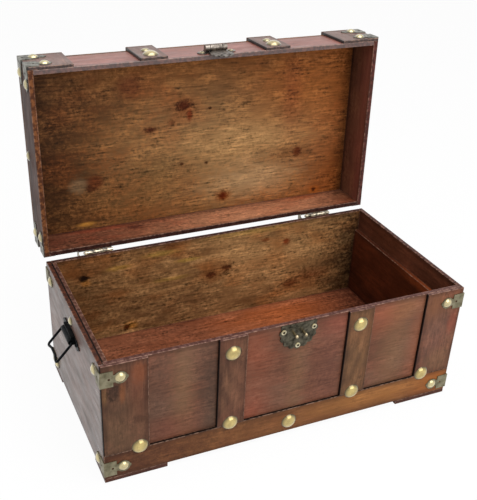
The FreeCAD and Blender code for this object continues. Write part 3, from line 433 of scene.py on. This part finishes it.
LID_RIGHT_POOLS_AND_SHADE = on_face(X, -0.003, [
    # Dark band along the corner with the top panel: painted shadow
    (0.000, 0.026, 0.600, 0.018, "#2e1e14", 0.60),
    (0.000, -0.022, 0.600, 0.024, "#8a4c40", 0.60),
])
stained_board("lid_top_panel", X, RED_BROWN, LID_TAN, (Z, -1), lid=True, marks=TOP_KNOTS_LIGHT_AND_SHADE, roughness=0.5,
              texture=1.3, flecks=0.2, seed=21.0)
stained_board("lid_front_panel", X, LID_RED_AND_SHEEN, DARK_BROWN, (Y, 1), rims=[(Z, -1, "#34201c", "#6a4238")],
              lid=True, shine=1.0, seed=22.0)
stained_board("lid_back_panel", X, DARK_BROWN, ("#72422c", "#b07858", "#a05034"), (Y, -1),
              rims=[(Z, -1, DARK_RIM, "#4e3028")], lid=True, marks=LID_BACK_POOLS_SHEEN_AND_SHADE, roughness=0.4, texture=1.2,
              seed=23.0)
stained_board("lid_left_side", Y, ("#301e18", "#57372c", "#4a2c20"), DEEP_RED, (X, 1),
              rims=[(Z, -1, "#3c2118", "#8a5632")], lid=True, roughness=0.5, seed=24.0)
stained_board("lid_right_side", Y, DARK_BROWN, ("#4e3228", "#82563f", "#663e33"), (X, -1),
              rims=[(Z, -1, "#38201c", "#6a3c34")], lid=True, marks=LID_RIGHT_POOLS_AND_SHADE, seed=25.0)
for count, strap in enumerate(("left_corner", "left_mid", "right_mid", "right_corner")):
    # The black left side of each strap is painted shade beside its raised edge
    stained_board(f"lid_{strap}_strap", Z, LID_STRAP_AND_SHEEN, rims=[(Z, -1, "#1c1210", "#5a4038")], seams_and_shaded_sides=[(X, -1)],
                  lid=True, shine=0.5, seed=30.0 + count)
    stained_board(f"lid_top_{strap}_strap", Y, STRAP_BROWN, lid=True, seed=35.0 + count)


# Studs and nails: pressed brass domes, driven in, bright on top and darkened towards each foot: tarnish and
# grime at the foot, and painted shade up the sides.
# A dome rises from the faces of the closed chest: half its width, half its depth and its height.
CHEST_FACES = (0.225, 0.116, 0.215)
STUD_RISE = 0.0045
NAIL_RISE = 0.0038


def aged_metal(name, colour, tarnish, roughness, cover, grain_mm, rise=0.0, lid=False, lacquer=0.0,
               barrel=0.0):
    """Metal whose bright colour is broken by tarnish: a noise of the given grain, cut at the share covered.

    With a rise in metres, a darkening also grows from near the top of a dome of that rise to its foot: tarnish
    at the foot and painted shade up the sides.
    Lacquer is a clear coat. With a barrel's radius, most of what lies outside a barrel on the lid's axle is
    darkened with the tarnish colour as painted shade.
    """
    material = bpy.data.materials.new(name)
    material.use_nodes = True
    tree = material.node_tree
    shader = tree.nodes["Principled BSDF"]
    axle = tuple(lid_joint["pos_m"])
    place = add(tree, "TexCoord", {}, {}).outputs["Object"]
    cloud = add(tree, "TexNoise", {}, {"Vector": place, "Scale": 1000 / grain_mm, "Detail": 4.0}).outputs[0]
    share = add(tree, "MapRange", {}, {0: cloud, 1: 0.35, 2: 0.7, 3: 0.0, 4: cover}).outputs[0]
    if rise:
        if lid:
            place = add(tree, "Mapping", {"vector_type": "TEXTURE"},
                        {"Vector": place, "Location": axle, "Rotation": (LID_TURN, 0, 0)}).outputs[0]
            place = add(tree, "VectorMath", {"operation": "ADD"}, {0: place, 1: axle}).outputs[0]
        place = add(tree, "VectorMath", {"operation": "ABSOLUTE"}, {0: place}).outputs[0]
        place = add(tree, "VectorMath", {"operation": "SUBTRACT"}, {0: place, 1: CHEST_FACES}).outputs[0]
        heights = add(tree, "SeparateXYZ", {}, {0: place}).outputs
        out = add(tree, "Math", {"operation": "MAXIMUM"}, {0: heights[0], 1: heights[1]}).outputs[0]
        out = add(tree, "Math", {"operation": "MAXIMUM"}, {0: out, 1: heights[2]}).outputs[0]
        # Tarnish at the foot, and painted shade up the dome's sides
        foot = add(tree, "MapRange", {}, {0: out, 1: 0.0, 2: rise * 0.8, 3: 1.0, 4: 0.0}).outputs[0]
        share = add(tree, "Math", {"operation": "MAXIMUM"}, {0: share, 1: foot}).outputs[0]
    if barrel:
        away = add(tree, "VectorMath", {"operation": "SUBTRACT"}, {0: place, 1: axle}).outputs[0]
        away = add(tree, "VectorMath", {"operation": "MULTIPLY"}, {0: away, 1: (0, 1, 1)}).outputs[0]
        away = add(tree, "VectorMath", {"operation": "LENGTH"}, {0: away}).outputs["Value"]
        # Painted shade on the leaves away from the barrel
        outside = add(tree, "MapRange", {}, {0: away, 1: barrel, 2: barrel * 1.4, 3: 0.0, 4: 0.7}).outputs[0]
        share = add(tree, "Math", {"operation": "MAXIMUM"}, {0: share, 1: outside}).outputs[0]
    tint = add(tree, "Mix", {"data_type": "RGBA"},
               {0: share, 6: linear(colour), 7: linear(tarnish)}).outputs[2]
    tree.links.new(tint, shader.inputs["Base Color"])
    dull = add(tree, "MapRange", {}, {0: cloud, 1: 0.35, 2: 0.7, 3: roughness, 4: roughness + 0.2}).outputs[0]
    tree.links.new(dull, shader.inputs["Roughness"])
    shader.inputs["Metallic"].default_value = 1.0
    shader.inputs["Coat Weight"].default_value = lacquer
    shader.inputs["Coat Roughness"].default_value = 0.15
    return material


for names, shade, on_lid, rise, coat in (
        (["front_studs"], "#d0b872", False, STUD_RISE, 1.0),
        # Paler than the other studs: painted reflection of the light above
        (["lid_front_studs"], "#d8c692", True, STUD_RISE, 1.0),
        (["lid_top_studs"], "#d0b872", True, STUD_RISE, 0.5),
        (["base_bracket_nails", "side_studs"], "#e0d09c", False, NAIL_RISE, 1.0),
        (["lid_bracket_nails", "lid_end_studs"], "#dccfa2", True, NAIL_RISE, 0.7)):
    dress(names, aged_metal("pressed_brass_" + names[0], shade, "#2e2108", 0.15, 0.45, 7, rise, on_lid, coat))


# Brackets: stamped from thin sheet brass and folded round each upright edge, two nails to each.
# Age has left them a dull antique brass on the case, and greyer and more spotted on the lid.
dress(["base_brackets"], aged_metal("antique_brass_plate", "#8f8870", "#5a5540", 0.42, 0.8, 7))
dress(["lid_brackets"], aged_metal("greyed_brass_plate", "#8c8a80", "#38352f", 0.36, 0.9, 6))


# Catch and hasp: stamped plates darkened to bronze, the hasp rubbed paler by hands.
# Pale tubular rivets of brass hold them, and two brass prongs on the catch take the flap's holes.
dress(["catch_plate"], aged_metal("darkened_bronze", "#615c4e", "#1c1a14", 0.36, 0.9, 4))
dress(["hasp_plate", "hasp_flap", "hasp_pin"], aged_metal("rubbed_bronze", "#8c837a", "#231f1b", 0.3, 1.0, 4))
dress(["catch_rivets", "hasp_rivets"], aged_metal("rivet_brass", "#d6cdb0", "#8f8262", 0.3, 0.6, 4))
dress(["catch_prongs"], aged_metal("prong_brass", "#b4a484", "#4c3e2a", 0.3, 0.7, 4))


# Handles: a bail of bent iron wire that turns in a plate's hooded sleeve, on each side of the case.
# Plate, bail and nails are japanned black, which leaves a soft dark gleam.
dress(["left_handle_plate", "right_handle_plate", "left_handle_bail", "right_handle_bail", "handle_nails"],
      aged_metal("black_iron", "#1c1e20", "#0c0d0e", 0.4, 0.8, 6))


# Hinges: small steel butts, screwed to the backs of case and lid, with a stop arm on the lid's leaf.
# The steel is browned; its pale spots on the barrel are painted highlight, and the leaves around the barrel
# are darkened as painted shade.
BARREL_RADIUS = 0.0026
dress(["left_hinge_base_leaf", "right_hinge_base_leaf", "left_hinge_lid_leaf", "right_hinge_lid_leaf",
       "left_hinge_pin", "right_hinge_pin", "hinge_base_screws", "hinge_lid_screws"],
      aged_metal("browned_steel", "#d2c6b0", "#1c1713", 0.25, 1.0, 4, barrel=BARREL_RADIUS))


# Studio: a seamless floor of white paper, soft white surroundings, a wide softbox above and one in front.
# Floor and surroundings are white to the eye and in reflections, and light the chest more weakly.
FLOOR_REACH = 6.0
LAMP_TARGET = Vector((0, 0.05, 0.2))


def seen_white(tree):
    """1 for rays from the eye, off a gloss or through glass, and 0 for the rest: the largest of the three."""
    rays = add(tree, "LightPath", {}, {}).outputs
    seen = add(tree, "Math", {"operation": "MAXIMUM"},
               {0: rays["Is Camera Ray"], 1: rays["Is Glossy Ray"]}).outputs[0]
    return add(tree, "Math", {"operation": "MAXIMUM"}, {0: seen, 1: rays["Is Transmission Ray"]}).outputs[0]


floor_mesh = bpy.data.meshes.new("floor")
corners = [(-FLOOR_REACH, -FLOOR_REACH, 0), (FLOOR_REACH, -FLOOR_REACH, 0),
           (FLOOR_REACH, FLOOR_REACH, 0), (-FLOOR_REACH, FLOOR_REACH, 0)]
floor_mesh.from_pydata(corners, [], [(0, 1, 2, 3)])
floor = bpy.data.objects.new("floor", floor_mesh)
bpy.context.scene.collection.objects.link(floor)
paper = bpy.data.materials.new("white_paper")
paper.use_nodes = True
tree = paper.node_tree
tree.nodes.clear()
matt = add(tree, "BsdfDiffuse", {}, {"Color": linear("#efefef")})
glow = add(tree, "Emission", {}, {"Strength": 1.0})
white = add(tree, "Math", {"operation": "MULTIPLY"}, {0: seen_white(tree), 1: 0.95}).outputs[0]
both = add(tree, "MixShader", {}, {0: white, 1: matt.outputs[0], 2: glow.outputs[0]})
add(tree, "OutputMaterial", {}, {"Surface": both.outputs[0]})
floor_mesh.materials.append(paper)

world = bpy.data.worlds.new("white_surroundings")
world.use_nodes = True
bpy.context.scene.world = world
tree = world.node_tree
tree.nodes.clear()
level = add(tree, "MapRange", {}, {0: seen_white(tree), 1: 0.0, 2: 1.0, 3: 0.45, 4: 1.0}).outputs[0]
sky = add(tree, "Background", {}, {"Color": (1, 1, 1, 1), "Strength": level})
add(tree, "OutputWorld", {}, {"Surface": sky.outputs[0]})

for name, where, size, power in (("top_softbox", (0.1, -0.3, 1.8), 1.6, 26.0),
                                 ("front_softbox", (0.37, -1.25, 1.0), 1.2, 10.5)):
    lamp = bpy.data.lights.new(name, "AREA")
    lamp.size = size
    lamp.energy = power
    stand = bpy.data.objects.new(name, lamp)
    stand.location = where
    stand.rotation_mode = "QUATERNION"
    stand.rotation_quaternion = (LAMP_TARGET - Vector(where)).to_track_quat("-Z", "Y")
    bpy.context.scene.collection.objects.link(stand)


# Camera: placed by the corners of the case in the photograph, which is 477 by 500 pixels.
# Its lens and shift come from a focal length and an optical centre in pixels.
IMAGE_WIDTH = 477
IMAGE_HEIGHT = 500
FOCAL_PIXELS = 825.45
CENTRE_PIXELS = (220.78, 280.51)
CAMERA_PLACE = (-0.39193, -0.77034, 0.65644)
CAMERA_RIGHT = Vector((0.91780, -0.39576, 0.03201))
CAMERA_UP = Vector((0.17613, 0.47807, 0.86048))
camera = bpy.data.cameras.new("camera")
camera.sensor_width = 36.0
camera.lens = FOCAL_PIXELS / IMAGE_HEIGHT * camera.sensor_width
camera.shift_x = (IMAGE_WIDTH / 2 - CENTRE_PIXELS[0]) / IMAGE_HEIGHT
camera.shift_y = (CENTRE_PIXELS[1] - IMAGE_HEIGHT / 2) / IMAGE_HEIGHT
viewer = bpy.data.objects.new("camera", camera)
turn = Matrix((CAMERA_RIGHT, CAMERA_UP, CAMERA_RIGHT.cross(CAMERA_UP))).transposed()
viewer.matrix_world = Matrix.Translation(CAMERA_PLACE) @ turn.to_4x4()
bpy.context.scene.collection.objects.link(viewer)
bpy.context.scene.camera = viewer
bpy.context.scene.view_settings.view_transform = "Standard"
